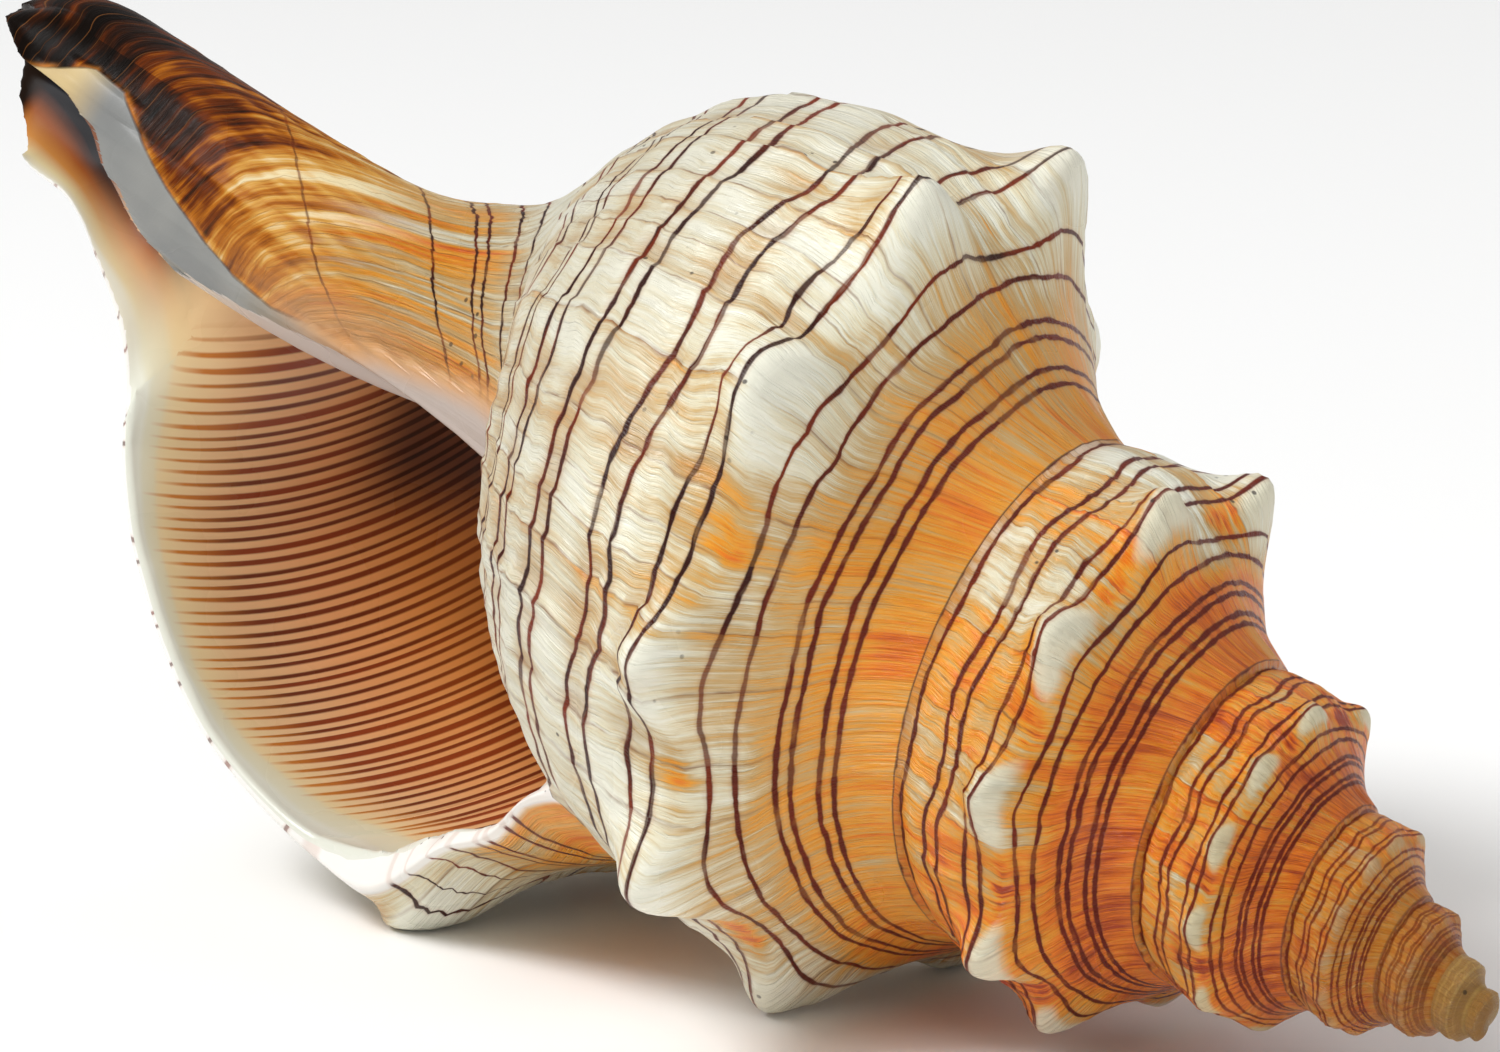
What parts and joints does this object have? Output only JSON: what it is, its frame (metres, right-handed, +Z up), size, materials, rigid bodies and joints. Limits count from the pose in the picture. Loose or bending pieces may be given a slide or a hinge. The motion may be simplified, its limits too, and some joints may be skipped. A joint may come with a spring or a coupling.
{
  "type": "trapezium horse conch shell",
  "caption": "Hollow spiral sea shell with knobbed whorls, a pointed spire, a wide open mouth and a long open canal, lying on its side.",
  "frame": {"origin": "centre of the footprint box, on the surface the shell lies on", "axes": "+Z up; +X along the coiling axis seen from above, towards the apex; the mouth and the open canal face -Y"},
  "size_m": [0.1418, 0.0654, 0.0637],
  "materials": {
    "shell": "semi-gloss cream and orange shell with thin dark brown spiral lines, glossy peach inside"
  },
  "bodies": {
    "root": {"shell": "shell"}
  },
  "joints": []
}
